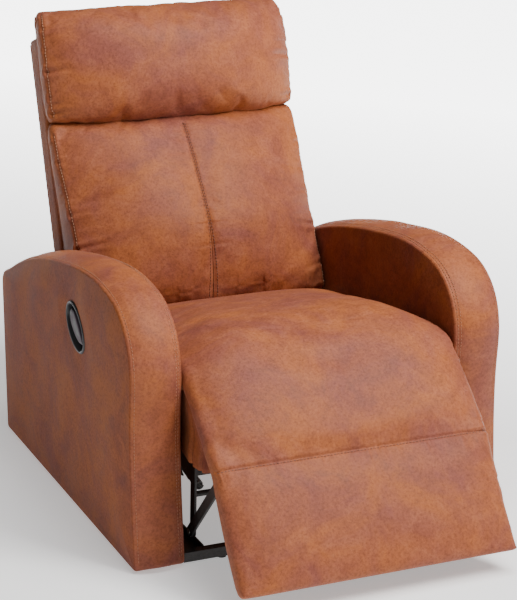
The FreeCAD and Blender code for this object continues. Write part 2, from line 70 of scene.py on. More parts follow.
ARM_INNER = 294.0
ARM_MIDDLE = (ARM_OUTER + ARM_INNER) / 2
ARM_HALF = (ARM_OUTER - ARM_INNER) / 2
CORNER = 7.0                # rounding of an arm's long edges
BAND_CROWN = 9.0            # padding over the strip round an arm's edge
PANEL_BULGE = 6.5           # padding over an arm's outer side
INNER_BULGE = 2.5           # and over its inner side
SEAM_DEPTH = 3.0            # how far an arm's sewn seams sink in
ARM_CENTRE = (-40.0, 260.0)  # (y, z) inside an arm's outline
SEAT_HALF = 291.5
BACK_HALF = 289.0
HINGE = (235.0, 290.0)
LEAN = math.radians(17.3)
HANDLE = (-126.0, 412.0)
HANDLE_TILT = math.radians(33.0)
HANDLE_FACE = -ARM_OUTER - 2.0
LINK_FACE = 262.0           # outer face of the links
PLATE_FACE = 257.0          # outer face of the seat's side plates
LEATHER_THICK = 1.8
STITCH = 5.0                # length of one topstitch
STITCH_GAP = 2.0
THREAD = 0.75               # half thickness of the topstitching thread
FLOOR_GLOW = 0.48           # light that the studio floor gives back near the chair
FAR_GLOW = 5.5              # and far behind it
FLOOR_HALF = 60.0           # metres

# ---- mesh helpers


def to_row(points):
    """Drawing millimetres to row metres."""
    return (np.asarray(points, float) + (0.0, ORIGIN_SHIFT_Y, 0.0)) / 1000.0


def to_drawing(points):
    return np.asarray(points, float) * 1000.0 - (0.0, ORIGIN_SHIFT_Y, 0.0)


def linked(name, data):
    obj = bpy.data.objects.new(name, data)
    bpy.context.scene.collection.objects.link(obj)
    return obj


def piece(name, points, faces, material):
    """A smooth-shaded mesh from drawing points, remembering where each point rests."""
    mesh = bpy.data.meshes.new(name)
    mesh.from_pydata(to_row(points).tolist(), [], faces)
    mesh.validate()
    mesh.materials.append(material)
    obj = linked(name, mesh)
    finish_mesh(obj)
    return obj


def fitted(obj, slot_name, body, *nodes):
    """Gives a piece its body, and hides the CAD nodes that it stands for; slot_name is not used."""
    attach(obj, body)
    if nodes:
        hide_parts(*nodes)


def finish_mesh(obj):
    """Consistent outward faces, smooth shading, and the rest place as an attribute."""
    bm = bmesh.new()
    bm.from_mesh(obj.data)
    bmesh.ops.remove_doubles(bm, verts=bm.verts, dist=1e-6)
    bmesh.ops.recalc_face_normals(bm, faces=bm.faces)
    bm.to_mesh(obj.data)
    bm.free()
    obj.data.shade_smooth()
    keep_rest(obj)


def keep_rest(obj):
    """Stores where each vertex rests, for textures that stay with the leather as it bends."""
    attributes = obj.data.attributes
    rest = attributes.get("rest") or attributes.new("rest", "FLOAT_VECTOR", "POINT")
    rest.data.foreach_set("vector", vertex_vectors(obj, "co").ravel())


def vertex_vectors(obj, key):
    """Positions or normals of a mesh's vertices, as rows."""
    flat = np.empty(len(obj.data.vertices) * 3, np.float32)
    obj.data.vertices.foreach_get(key, flat)
    return flat.reshape(-1, 3)


def grid_faces(rows, columns, wrap_rows=False, wrap_columns=False):
    """Quads between the points of a rows by columns grid."""
    faces = []
    for i in range(rows if wrap_rows else rows - 1):
        for j in range(columns if wrap_columns else columns - 1):
            k = (i + 1) % rows
            m = (j + 1) % columns
            faces.append((i * columns + j, i * columns + m, k * columns + m, k * columns + j))
    return faces


def spline(points, count):
    """Even samples along a smooth curve through the points (rows of any width)."""
    points = np.asarray(points, float)
    padded = np.vstack([2 * points[0] - points[1], points, 2 * points[-1] - points[-2]])
    dense = []
    for p0, p1, p2, p3 in zip(padded, padded[1:], padded[2:], padded[3:]):
        for t in np.linspace(0, 1, 24, endpoint=False):
            dense.append(0.5 * ((2 * p1) + (p2 - p0) * t + (2 * p0 - 5 * p1 + 4 * p2 - p3) * t * t
                                + (3 * p1 - p0 - 3 * p2 + p3) * t ** 3))
    dense.append(points[-1])
    return resample(np.array(dense), count)


def resample(points, count):
    """Even spacing along a polyline, measured on its first three columns."""
    steps = np.linalg.norm(np.diff(points[:, :3], axis=0), axis=1)
    along = np.concatenate([[0], np.cumsum(steps)])
    even = np.linspace(0, along[-1], count)
    return np.stack([np.interp(even, along, column) for column in points.T], axis=1)


def by_height(table, places):
    """Smooth values read off a short table of (place, value) rows."""
    curve = spline(table, 200)
    return np.interp(places, curve[:, 0], curve[:, 1])


def mesh_points(obj):
    return to_drawing(vertex_vectors(obj, "co"))


def set_points(obj, points):
    obj.data.vertices.foreach_set("co", to_row(points).ravel())
    obj.data.update()


def unit(vectors):
    """Vectors scaled to length one."""
    return vectors / np.linalg.norm(vectors, axis=-1, keepdims=True)


def at_x(x, places):
    """Points from (y, z) places, all at one x or each at its own."""
    return np.column_stack([np.broadcast_to(x, len(places)), places])


def circle(centre, first, second, radius, sides):
    """A ring of points round a centre, in the plane of two unit vectors."""
    angles = np.linspace(0, 2 * math.pi, sides, endpoint=False)[:, None]
    return centre + radius * (np.cos(angles) * first + np.sin(angles) * second)


def loft(rings, open_start=False, open_end=False):
    """A mesh through equal closed rings, with a flat face over each end that isn't open."""
    rings = np.asarray(rings, float)
    count, size, _ = rings.shape
    faces = grid_faces(count, size, wrap_columns=True)
    if not open_start:
        faces.append(tuple(reversed(range(size))))
    if not open_end:
        faces.append(tuple((count - 1) * size + k for k in range(size)))
    return rings.reshape(-1, 3), faces


def joined(parts):
    """One mesh from several (points, faces) parts."""
    points = []
    faces = []
    for part_points, part_faces in parts:
        faces += [tuple(len(points) + k for k in face) for face in part_faces]
        points.extend(part_points)
    return points, faces


def grid_sheet(rows, wrap_rows=False):
    """An open mesh through rows of points."""
    rows = np.asarray(rows, float)
    return rows.reshape(-1, 3), grid_faces(*rows.shape[:2], wrap_rows=wrap_rows)


def wobble(places, seed, spacing):
    """Smooth random values in -1..1 along a line."""
    rng = np.random.default_rng(seed)
    knots = rng.uniform(-1, 1, int(np.max(places) / spacing) + 6)
    at = np.asarray(places) / spacing + 1
    low = np.floor(at).astype(int)
    part = at - low
    part = part * part * (3 - 2 * part)
    return knots[low] * (1 - part) + knots[low + 1] * part


def nearest_on_line(points, line):
    """Distance from each point to a polyline, and how far along the line it is."""
    steps = np.linalg.norm(np.diff(line, axis=0), axis=1)
    along = np.concatenate([[0], np.cumsum(steps)])
    best = np.full(len(points), 1e9)
    place = np.zeros(len(points))
    for start, end, base in zip(line[:-1], line[1:], along):
        d = end - start
        length = np.linalg.norm(d)
        t = np.clip((points - start) @ d / (length * length), 0, 1)
        gap = np.linalg.norm(points - (start + t[:, None] * d), axis=1)
        closer = gap < best
        best[closer] = gap[closer]
        place[closer] = base + t[closer] * length
    return best, place


def near(points, line, reach):
    """Indices of the points whose box-distance to the line's box is within reach."""
    low = line.min(axis=0) - reach
    high = line.max(axis=0) + reach
    return np.nonzero(np.all((points > low) & (points < high), axis=1))[0]


def press(obj, line, reach, sink):
    """Pushes a mesh inward near a line by sink(gap to the line, place along it)."""
    points = mesh_points(obj)
    chosen = near(points, line, reach)
    gap, place = nearest_on_line(points[chosen], line)
    points[chosen] -= vertex_vectors(obj, "normal")[chosen] * sink(gap, place)[:, None]
    set_points(obj, points)


def sew(obj, line, depth, width=5.0, pucker=0.0, reach=55.0, spacing=17.0, seed=1):
    """Sinks a sewn seam along a line, with small gathers running away from it."""
    def sink(gap, place):
        groove = depth * np.exp(-(gap / width) ** 2)
        if not pucker:
            return groove
        folds = (np.abs(wobble(place, seed, spacing)) ** 0.8
                 * np.sign(wobble(place, seed + 50, spacing * 0.6)))
        fade = np.clip(gap / 8.0, 0, 1) * np.exp(-(gap / (reach * 0.42)) ** 1.5)
        return groove + pucker * folds * fade

    press(obj, line, reach, sink)


# ---- materials


def painted(name, recipe, *settings):
    """A material from a recipe, which returns the inputs of its shader."""
    material = bpy.data.materials.new(name)
    material.use_nodes = True
    tree = material.node_tree
    for key, value in recipe(tree, *settings).items():
        set_input(tree, tree.nodes["Principled BSDF"].inputs[key], value)
    return material


def colour_of(value):
    """RGBA from a grey level or an RGB tuple."""
    return (*(value if isinstance(value, tuple) else (value,) * 3), 1.0)


def set_input(tree, socket, value):
    """Links another node's output to a socket, or sets the socket's own value."""
    if isinstance(value, bpy.types.NodeSocket):
        tree.links.new(value, socket)
    else:
        socket.default_value = colour_of(value) if socket.type == "RGBA" else value


def node(tree, kind, inputs=None, **settings):
    made = tree.nodes.new(kind)
    for key, value in settings.items():
        setattr(made, key, value)
    for key, value in (inputs or {}).items():
        set_input(tree, made.inputs[key], value)
    return made


def rest_place(tree):
    return node(tree, "ShaderNodeAttribute", attribute_name="rest").outputs["Vector"]


def object_place(tree):
    return node(tree, "ShaderNodeTexCoord").outputs["Object"]


def noise(tree, place, scale, detail=3.0, roughness=0.5, distortion=0.0):
    return node(tree, "ShaderNodeTexNoise", {"Vector": place, "Scale": scale, "Detail": detail,
                                             "Roughness": roughness, "Distortion": distortion}).outputs["Fac"]


def ramp(tree, value, stops):
    """Colours or greys at places along a value."""
    made = node(tree, "ShaderNodeValToRGB", {"Fac": value})
    band = made.color_ramp
    while len(band.elements) < len(stops):
        band.elements.new(0.5)
    for element, (place, colour) in zip(band.elements, stops):
        element.position = place
        element.color = colour_of(colour)
    return made.outputs["Color"]


def mix(tree, factor, first, second, blend="MIX"):
    return node(tree, "ShaderNodeMix", {0: factor, 6: first, 7: second},
                data_type="RGBA", blend_type=blend).outputs[2]


def times(tree, first, second):
    return node(tree, "ShaderNodeMath", {0: first, 1: second}, operation="MULTIPLY").outputs[0]


def scaled(colour, factor, offset=0.0):
    return tuple(c * factor + offset for c in colour)


def bump(tree, height, strength, distance, under=None):
    inputs = {"Height": height, "Strength": strength, "Distance": distance}
    if under is not None:
        inputs["Normal"] = under
    return node(tree, "ShaderNodeBump", inputs).outputs["Normal"]


ORANGE_TAN = (0.340, 0.099, 0.031)
MAUVE_TAN = (0.234, 0.067, 0.044)
DEEP_BROWN = (0.110, 0.026, 0.012)
PALE_TAN = (0.460, 0.170, 0.085)


def leather(tree, shade=1.0, gloss=0.20):
    """Distressed faux-suede leather: cloudy orange and mauve, fine nap, worn pale flecks."""
    place = rest_place(tree)
    cloud = noise(tree, place, 8.0, 5.0, 0.60, 0.8)
    patch = noise(tree, place, 24.0, 7.0, 0.72, 0.8)
    fleck = noise(tree, place, 190.0, 5.0, 0.75)
    hue = ramp(tree, cloud, [(0.34, ORANGE_TAN), (0.66, MAUVE_TAN)])
    dark = ramp(tree, patch, [(0.30, 1.0), (0.52, 0.0)])
    pale = ramp(tree, patch, [(0.52, 0.0), (0.78, 1.0)])
    colour = mix(tree, times(tree, dark, 0.34), hue, DEEP_BROWN)
    colour = mix(tree, times(tree, pale, 0.36), colour, PALE_TAN)
    speck = ramp(tree, fleck, [(0.34, (0.72, 0.68, 0.65)), (0.50, 1.0), (0.68, (1.18, 1.18, 1.20))])
    colour = mix(tree, 1.0, colour, speck, "MULTIPLY")
    # Scales the whole colour by shade; below 1 this is painted shade, for the side and seam copies.
    colour = mix(tree, 1.0, colour, shade, "MULTIPLY")
    grain = node(tree, "ShaderNodeTexVoronoi", {"Vector": place, "Scale": 620.0}).outputs["Distance"]
    nap = noise(tree, place, 1500.0, 2.0, 0.6)
    creases = noise(tree, place, 70.0, 5.0, 0.62, 1.4)
    normal = bump(tree, creases, 0.22, 0.0022)
    normal = bump(tree, grain, 0.20, 0.0005, normal)
    return {"Base Color": colour, "Roughness": ramp(tree, patch, [(0.3, 0.50), (0.75, 0.66)]),
            "Normal": bump(tree, nap, 0.15, 0.0003, normal), "Specular IOR Level": gloss,
            "Sheen Weight": 0.2 * gloss, "Sheen Roughness": 0.45, "Sheen Tint": (1.0, 0.72, 0.55)}


def thread(tree, colour):
    """Twisted polyester thread."""
    twist = node(tree, "ShaderNodeTexWave", {"Vector": rest_place(tree), "Scale": 900.0,
                                             "Distortion": 1.5}).outputs["Fac"]
    return {"Base Color": ramp(tree, twist, [(0.0, scaled(colour, 0.7)), (1.0, colour)]),
            "Normal": bump(tree, twist, 0.4, 0.0003), "Roughness": 0.5, "Sheen Weight": 0.2}


def black_steel(tree):
    """Powder-coated steel: orange-peel skin, patches of dust, a few rubbed edges."""
    place = object_place(tree)
    dust = noise(tree, place, 16.0, 5.0, 0.6)
    tone = ramp(tree, dust, [(0.35, (0.010, 0.010, 0.011)), (0.70, (0.030, 0.029, 0.028))])
    edge = node(tree, "ShaderNodeNewGeometry").outputs["Pointiness"]
    scratch = noise(tree, place, 240.0, 3.0, 0.7)
    worn = times(tree, ramp(tree, edge, [(0.53, 0.0), (0.60, 1.0)]), times(tree, scratch, 0.5))
    return {"Base Color": mix(tree, worn, tone, (0.16, 0.15, 0.145)),
            "Roughness": ramp(tree, dust, [(0.3, 0.30), (0.7, 0.48)]),
            "Normal": bump(tree, noise(tree, place, 900.0, 2.0), 0.12, 0.0004), "Metallic": 0.25}


def bright_steel(tree, colour, rough):
    """Zinc-plated rivets and bare spring wire, duller where stained."""
    place = object_place(tree)
    stain = noise(tree, place, 60.0, 5.0, 0.65)
    return {"Base Color": ramp(tree, stain, [(0.3, scaled(colour, 0.55)), (0.7, colour)]),
            "Roughness": ramp(tree, stain, [(0.3, rough + 0.18), (0.7, rough)]),
            "Normal": bump(tree, noise(tree, place, 700.0, 3.0), 0.15, 0.0003), "Metallic": 1.0}


def moulded_plastic(tree, colour, rough):
    """Moulded plastic with a fine spark-eroded texture and light handling wear."""
    place = object_place(tree)
    wear = noise(tree, place, 40.0, 5.0, 0.6)
    return {"Base Color": ramp(tree, wear, [(0.35, colour), (0.75, scaled(colour, 1.5, 0.006))]),
            "Roughness": ramp(tree, wear, [(0.3, rough), (0.75, rough + 0.16)]),
            "Normal": bump(tree, noise(tree, place, 1400.0, 2.0), 0.25, 0.0003)}


def timber(tree):
    """Sawn pine: growth rings stretched along the grain, with fibres between them."""
    stretched = node(tree, "ShaderNodeMapping", {"Vector": object_place(tree),
                                                 "Scale": (9.0, 3.0, 9.0)}).outputs["Vector"]
    rings = node(tree, "ShaderNodeTexWave", {"Vector": stretched, "Scale": 2.6, "Distortion": 7.0,
                                             "Detail": 4.0}).outputs["Fac"]
    fibre = noise(tree, stretched, 45.0, 5.0, 0.7)
    tone = ramp(tree, rings, [(0.2, (0.50, 0.31, 0.15)), (0.8, (0.66, 0.46, 0.26))])
    streak = ramp(tree, fibre, [(0.3, (0.80, 0.76, 0.70)), (0.7, 1.0)])
    return {"Base Color": mix(tree, 1.0, tone, streak, "MULTIPLY"), "Roughness": 0.72,
            "Normal": bump(tree, rings, 0.15, 0.0006, bump(tree, fibre, 0.3, 0.0008))}


def rubber_jacket(tree):
    """Black cable jacket, lightly scuffed."""
    scuff = noise(tree, object_place(tree), 120.0, 4.0)
    return {"Base Color": ramp(tree, scuff, [(0.4, 0.012), (0.7, 0.030)]), "Roughness": 0.6,
            "Normal": bump(tree, scuff, 0.2, 0.0004)}


def dust_cloth(tree):
    """Black spun-bonded upholstery lining."""
    fibres = noise(tree, object_place(tree), 420.0, 6.0, 0.75, 2.0)
    return {"Base Color": ramp(tree, fibres, [(0.4, 0.010), (0.65, (0.034, 0.033, 0.032))]),
            "Roughness": 0.9, "Normal": bump(tree, fibres, 0.5, 0.0006)}


def studio_floor(tree):
    """Pale floor that glows more the further it runs behind the chair, like a lit studio sweep."""
    place = object_place(tree)
    reach = node(tree, "ShaderNodeVectorMath", {0: place, 1: (0.75, 0.65, 0.0)}, operation="DOT_PRODUCT")
    glow = node(tree, "ShaderNodeMapRange", {"Value": reach.outputs["Value"], "From Min": 0.5,
                                             "From Max": 4.0, "To Min": FLOOR_GLOW, "To Max": FAR_GLOW})
    tone = ramp(tree, noise(tree, place, 3.0, 3.0), [(0.3, 0.90), (0.7, 0.93)])
    return {"Base Color": tone, "Roughness": 0.8, "Emission Color": 1.0,
            "Emission Strength": glow.outputs["Result"]}


LEATHER = painted("cognac_leather", leather)
# Painted shade: the leather at 0.86 brightness, for the side, rear and under pieces.
SHADE_PAINTED_LEATHER = painted("cognac_leather_painted_shade", leather, 0.86, 0.06)
WELT_LEATHER = painted("cognac_leather_welt", leather, 1.15)
# Painted shade: the leather at 0.30 brightness, for the cords at the bottom of sewn grooves.
SEAM_PAINTED_SHADE = painted("cognac_leather_seam_painted_shade", leather, 0.30, 0.05)
THREAD_ORANGE = painted("orange_thread", thread, (0.38, 0.14, 0.058))
THREAD_LIGHT = painted("peach_thread", thread, (0.58, 0.27, 0.14))
THREAD_DARK = painted("brown_thread", thread, (0.17, 0.055, 0.028))
STEEL = painted("black_powder_coat", black_steel)
ZINC = painted("zinc_plate", bright_steel, (0.62, 0.62, 0.60), 0.30)
SPRING = painted("oiled_spring_wire", bright_steel, (0.38, 0.37, 0.36), 0.34)
PLASTIC = painted("handle_plastic", moulded_plastic, (0.018, 0.018, 0.020), 0.34)
PADDLE_PLASTIC = painted("paddle_plastic", moulded_plastic, (0.060, 0.040, 0.054), 0.50)
NYLON = painted("glide_nylon", moulded_plastic, (0.016, 0.016, 0.016), 0.5)
PINE = painted("sawn_pine", timber)
JACKET = painted("cable_jacket", rubber_jacket)
DUST_CLOTH = painted("black_dust_cloth", dust_cloth)

# ---- sewing details


def stitches(name, line, normals, material, body, slot_name):
    """A row of topstitches: short arched threads that dip into the leather at both ends."""
    total = np.linalg.norm(np.diff(line, axis=0), axis=1).sum()
    count = max(2, int(total / (STITCH + STITCH_GAP)))
    samples = resample(np.hstack([line, normals]), count * 8 + 1)
    threads = []
    for index in range(count):
        span = samples[index * 8: index * 8 + 7]
        middle, up = span[3, :3], unit(span[3, 3:])
        along = unit(span[-1, :3] - span[0, :3])
        rings = []
        for t in (-1.0, -0.7, 0.0, 0.7, 1.0):
            centre = middle + along * t * STITCH / 2 + up * THREAD * (0.9 - 1.5 * t * t)
            rings.append(circle(centre, np.cross(along, up), up, THREAD * (1.0 - 0.45 * t ** 4), 6))
        threads.append(loft(rings))
    fitted(piece(name, *joined(threads), material), slot_name, body)


def welt(name, line, radius, material, body, slot_name):
    """Piping: a leather-covered cord along a seam."""
    rings = []
    for index, (centre, tangent) in enumerate(zip(line, unit(np.gradient(line, axis=0)))):
        first = np.cross(tangent, (1.0, 0.0, 0.0))
        if np.linalg.norm(first) < 0.2:
            first = np.cross(tangent, (0.0, 0.0, 1.0))
        first = unit(first)
        swell = radius * (1 + 0.06 * math.sin(index * 1.7))
        rings.append(circle(centre, first, np.cross(tangent, first), swell, 10))
    fitted(piece(name, *loft(rings), material), slot_name, body)


def seam_cord(name, line, body, slot_name):
    """A dark leather cord at the bottom of a sewn groove: painted shade in the seam."""
    welt(name + "_shade_cord", line, 0.9, SEAM_PAINTED_SHADE, body, slot_name)


def sew_along(obj, line, away, depth, **gathers):
    """Drops a line onto a mesh and sews it there; returns where the line lay."""
    line, _ = on_surface(obj, line, away)
    sew(obj, line, depth, **gathers)
    return line


def stitch_along(obj, name, line, away, lift, material, body):
    """Drops a line onto a mesh and topstitches it there."""
    row, normals = on_surface(obj, line, away, lift)
    stitches(name, row, normals, material, body, "leather")


def crease(obj, start, end, away, depth, width=5.0):
    """One tuck that starts at a seam and dies out into the leather."""
    line, _ = on_surface(obj, np.linspace(start, end, 24), away)
    length = np.linalg.norm(line[-1] - line[0])

    def sink(gap, place):
        fade = np.clip(1 - place / length, 0, 1) ** 0.7
        fold = np.exp(-(gap / width) ** 2)
        ridge = np.exp(-((gap - 2.1 * width) / (1.2 * width)) ** 2)
        return depth * fade * (fold - 0.55 * ridge)

    press(obj, line, width * 4, sink)


def on_surface(obj, line, away, lift=0.0):
    """Drops a line onto a mesh along a direction; returns the points and the normals there."""
    surface = BVHTree.FromPolygons(vertex_vectors(obj, "co").tolist(),
                                   [tuple(p.vertices) for p in obj.data.polygons])
    found = []
    normals = []
    for point, direction in zip(line, np.broadcast_to(np.asarray(away, float), line.shape)):
        start = Vector(to_row(point + direction * 80.0))
        hit, normal, _, _ = surface.ray_cast(start, Vector(-direction), 0.25)
        if hit is None:
            hit, normal, _, _ = surface.find_nearest(Vector(to_row(point)))
        normal = np.array(normal)
        if normal @ direction < 0:
            normal = -normal
        found.append(to_drawing(hit) + normal * lift)
        normals.append(normal)
    return np.array(found), np.array(normals)


# ---- cushions

CUSHION_MESH = 6.0
CLOTH_FRAMES = 20
CLOTH = {"quality": 5, "mass": 0.35, "tension_stiffness": 18.0, "compression_stiffness": 18.0,
         "shear_stiffness": 6.0, "bending_stiffness": 0.8, "use_pressure": True,
         "uniform_pressure_force": 4.0, "shrink_min": -0.02, "vertex_group_mass": "held"}


def cushion_ring(half, crown, depth, edge, fullness, rear_edge=None):
    """(x, height) ring of a cushion: crowned top, rounded long edges, full sides, flat foot."""
    rear = edge if rear_edge is None else min(rear_edge, depth * 0.4)
    inner = half - edge
    quarter = np.linspace(0, math.pi / 2, 6)
    side = [(inner + edge * math.sin(a), -edge * (1 - math.cos(a))) for a in quarter[1:]]
    side += [(half + 2.5 * math.sin(math.pi * t), -edge - (depth - edge - rear) * t)
             for t in np.linspace(0, 1, 6)[1:-1]]
    side += [(half - rear + rear * math.cos(a), -depth + rear * (1 - math.sin(a))) for a in quarter]
    top = [(inner * t, crown * (1 - abs(t) ** fullness)) for t in np.linspace(-1, 1, 26)]
    foot = [((half - rear) * t, -depth) for t in np.linspace(1, -1, 26)[1:-1]]
    return np.array(top + side + foot + [(-x, h) for x, h in side[::-1]])


def lay_rings(stations, half, edge, fullness):
    """Cushion rings along a spine of (y, z, crown, depth) rows; heights go out along its normal."""
    rings = []
    for (y, z, crown, depth), (ty, tz) in zip(stations, unit(np.gradient(stations[:, :2], axis=0))):
        normal = np.array([tz, -ty])
        if normal[1] < 0:
            normal = -normal
        ring = cushion_ring(half, crown, depth, min(edge, depth * 0.45), fullness)
        rings.append(np.column_stack([ring[:, 0], y + normal[0] * ring[:, 1], z + normal[1] * ring[:, 1]]))
    return rings


def puff(obj, cap, held, even=0):
    """Plumps a cushion with a short cloth simulation; held(points) picks the pinned points."""
    remesh = obj.modifiers.new("even", "REMESH")
    remesh.mode = "VOXEL"
    remesh.voxel_size = CUSHION_MESH / 1000.0
    apply_modifiers(obj)
    inflate(obj, cap, held, even)
    set_points(obj, averaged(obj, mesh_points(obj), 2))
    smoother = obj.modifiers.new("finer", "SUBSURF")
    smoother.levels = 1
    smoother.render_levels = 1
    apply_modifiers(obj)
    obj.data.shade_smooth()
    keep_rest(obj)


def inflate(obj, cap, held, even):
    """Runs the cloth and keeps its movement, cut to cap and evened over the given rounds."""
    start = mesh_points(obj)
    group = obj.vertex_groups.new(name="held")
    group.add(np.nonzero(held(start))[0].tolist(), 1.0, "REPLACE")
    cloth = obj.modifiers.new("cloth", "CLOTH")
    for key, value in CLOTH.items():
        setattr(cloth.settings, key, value)
    cloth.settings.effector_weights.gravity = 0.0
    cloth.point_cache.frame_start = 1
    cloth.point_cache.frame_end = CLOTH_FRAMES
    scene = bpy.context.scene
    for step in range(1, CLOTH_FRAMES + 1):
        scene.frame_set(step)
    apply_modifiers(obj)
    scene.frame_set(1)
    moved = mesh_points(obj) - start
    limit = np.minimum(1.0, cap / np.maximum(np.linalg.norm(moved, axis=1), 1e-9))
    set_points(obj, start + averaged(obj, moved * limit[:, None], even))
    obj.vertex_groups.clear()


def averaged(obj, values, rounds):
    """Averages a vector at each point with its neighbours' vectors."""
    mesh = obj.data
    edges = np.empty(len(mesh.edges) * 2, int)
    mesh.edges.foreach_get("vertices", edges)
    edges = edges.reshape(-1, 2)
    count = np.bincount(edges.ravel(), minlength=len(values))[:, None]
    for _ in range(rounds):
        total = np.zeros_like(values)
        np.add.at(total, edges[:, 0], values[edges[:, 1]])
        np.add.at(total, edges[:, 1], values[edges[:, 0]])
        values = 0.5 * values + 0.5 * total / count
    return values


def apply_modifiers(obj):
    graph = bpy.context.evaluated_depsgraph_get()
    graph.update()
    mesh = bpy.data.meshes.new_from_object(obj.evaluated_get(graph))
    materials = list(obj.data.materials)
    obj.modifiers.clear()
    obj.data = mesh
    obj.data.materials.clear()
    for material in materials:
        obj.data.materials.append(material)


# ---- seat and leg rest cushion
# (y, z) of the pad's long edges, its crown at mid width and its thickness
CHAISE = [(178, 322, 0, 80), (112, 336, 12, 92), (16, 357, 26, 98), (-121, 379, 38, 98),
          (-250, 399, 42, 94), (-344, 409, 40, 84), (-403, 410, 38, 70), (-440, 402, 35, 56),
          (-470, 379, 29, 46), (-524, 331, 21, 42), (-580, 277, 9, 42), (-602, 256, 1, 42),
          (-616, 237, 5, 46), (-668, 156, 11, 50), (-716, 84, 6, 46), (-730, 62, 1, 36), (-735, 54, -6, 20)]
PAD_SEAM = (-602.0, 256.0)
PAD_END = (-734.0, 56.0)
FLAP_START = (0, -440, 402)
FLAP_END = (0, -598, 262)


def follow_flap(obj):
    """Lets a piece bend between the seat and the leg rest, as the loose flap does."""
    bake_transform(obj, "seat", "leg_rest", start=to_row(FLAP_START), end=to_row(FLAP_END))


def cross_line(y, z, half=SEAT_HALF):
    """A straight line across the chair."""
    return np.array([(x, y, z) for x in np.linspace(-half, half, 160)])


def chaise_pad():
    """One long pad over the seat, down its loose flap and over the leg rest."""
    stations = spline(CHAISE, 150)
    edge_line = stations[:, :2]
    pad = piece("chaise_pad", *loft(lay_rings(stations, SEAT_HALF, 22.0, 4.2)), LEATHER)
    seam_out = np.array([0.0, -0.79, 0.61])

    def held(p):
        gap, _ = nearest_on_line(p[:, 1:], edge_line)
        above = p[:, 2] > np.interp(p[:, 1], edge_line[::-1, 0], edge_line[::-1, 1])
        at_seam = (np.abs(p[:, 1] - PAD_SEAM[0]) + np.abs(p[:, 2] - PAD_SEAM[1])) < 13.0
        at_side = np.abs(p[:, 0]) > SEAT_HALF - 14
        return ((gap > 34.0) & ~above) | at_seam | at_side | (p[:, 1] > 120) | (p[:, 2] < 66)

    puff(pad, 8.0, held, even=14)
    sew_along(pad, cross_line(*PAD_SEAM), seam_out, 4.0, width=3.6, pucker=1.8, reach=60.0, seed=3)
    for y, z, depth in ((-250.0, 430.0, 1.1), (-395.0, 446.0, 0.9)):
        sew_along(pad, cross_line(y, z), np.array([0.0, -0.2, 0.98]), depth)
    seam, _ = on_surface(pad, cross_line(*PAD_SEAM, half=SEAT_HALF - 6), seam_out, -0.9)
    seam_cord("leg_rest_seam", seam, "leg_rest", "leather")
    for side in (1, -1):
        edge = at_x(side * (SEAT_HALF - 7), edge_line[40:])
        sew(pad, edge, 0.0, pucker=1.5, reach=46.0, spacing=26.0, seed=5 + side)
    keep_rest(pad)
    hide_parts("seat_cushion", "upper_leg_pad", "lower_leg_pad")
    follow_flap(pad)
    below = seam + (0.0, -1.5, -3.6)
    stitch_along(pad, "leg_rest_seam_stitches", below, seam_out, 0.2, THREAD_DARK, "leg_rest")


# ---- back cushions


def back_point(up, rearward):
    """(y, z) of a point along the back from its hinge and square to it."""
    return (HINGE[0] + up * math.sin(LEAN) + rearward * math.cos(LEAN),
            HINGE[1] + up * math.cos(LEAN) - rearward * math.sin(LEAN))


BACK_FRONT = np.array([0.0, -math.cos(LEAN), math.sin(LEAN)])


def back_line(ups, rearwards, xs):
    """3-D points from arrays given in the back's own axes."""
    y, z = back_point(np.asarray(ups, float), np.asarray(rearwards, float))
    return np.column_stack(np.broadcast_arrays(xs, y, z))


def upright_rings(ups, edge, middle, rear, halves, fullness):
    """Rings of a back cushion from its tables, each at one height up the back."""
    columns = [by_height(table, ups) for table in (edge, middle, halves)]
    rings = []
    for up, front, bulge, half, back_face in zip(ups, *columns, rear):
        depth = back_face - front
        crown = max(front - bulge, 0.0)
        ring = cushion_ring(half - 1.0, crown, depth, min(13.0, depth * 0.4), fullness, 5.0)
        rings.append(back_line(up, front - ring[:, 1], ring[:, 0]))
    return rings


def held_side_seam(p, edge, margin):
    """Which points lie by a back cushion's side seam, behind its front edge."""
    return (np.abs(p[:, 0]) > BACK_HALF - margin) & (rearward_of(p) > by_height(edge, up_of(p)) + 2)


def rearward_of(p):
    return (p[:, 1] - HINGE[0]) * math.cos(LEAN) - (p[:, 2] - HINGE[1]) * math.sin(LEAN)


def side_seams(cushion, name, ups, edge, rear, halves, seed, tucks):
    """Gathered, topstitched front seams and corded rear seams down both sides of a back cushion."""
    front = by_height(edge, ups) + 7.0
    half = by_height(halves, ups)

    for side in (1, -1):
        away = np.array([side * 0.80, -0.57, 0.18])
        line = sew_along(cushion, back_line(ups, front, side * (half - 3.0)), away, 3.4, width=3.6,
                         pucker=1.3, reach=80.0, spacing=34.0, seed=seed + side)
        for share, run, rise, depth in tucks:
            root = line[int(share * (len(line) - 1))]
            tip = root + (-side * run, 0.3 * rise - 0.25 * run * math.cos(LEAN), 0.95 * rise)
            crease(cushion, root, tip, np.array([side * 0.35, -0.90, 0.27]), depth)
    for side in (1, -1):
        tag = side_name(side)
        away = np.array([side * 0.80, -0.57, 0.18])
        line, _ = on_surface(cushion, back_line(ups, front, side * (half - 3.0)), away)
        stitch_along(cushion, "%s_stitches_%s" % (name, tag), line + BACK_FRONT * 4.5, away, 0.3,
                     THREAD_LIGHT, "back")
        seam_cord("%s_seam_%s" % (name, tag), line - 1.3 * away, "back", "leather")
        outside = np.array([side * 0.86, 0.49, -0.15])
        cord, _ = on_surface(cushion, back_line(ups, rear, side * half), outside, 0.2)
        welt("%s_welt_%s" % (name, tag), cord, 2.3, WELT_LEATHER, "back", "leather")


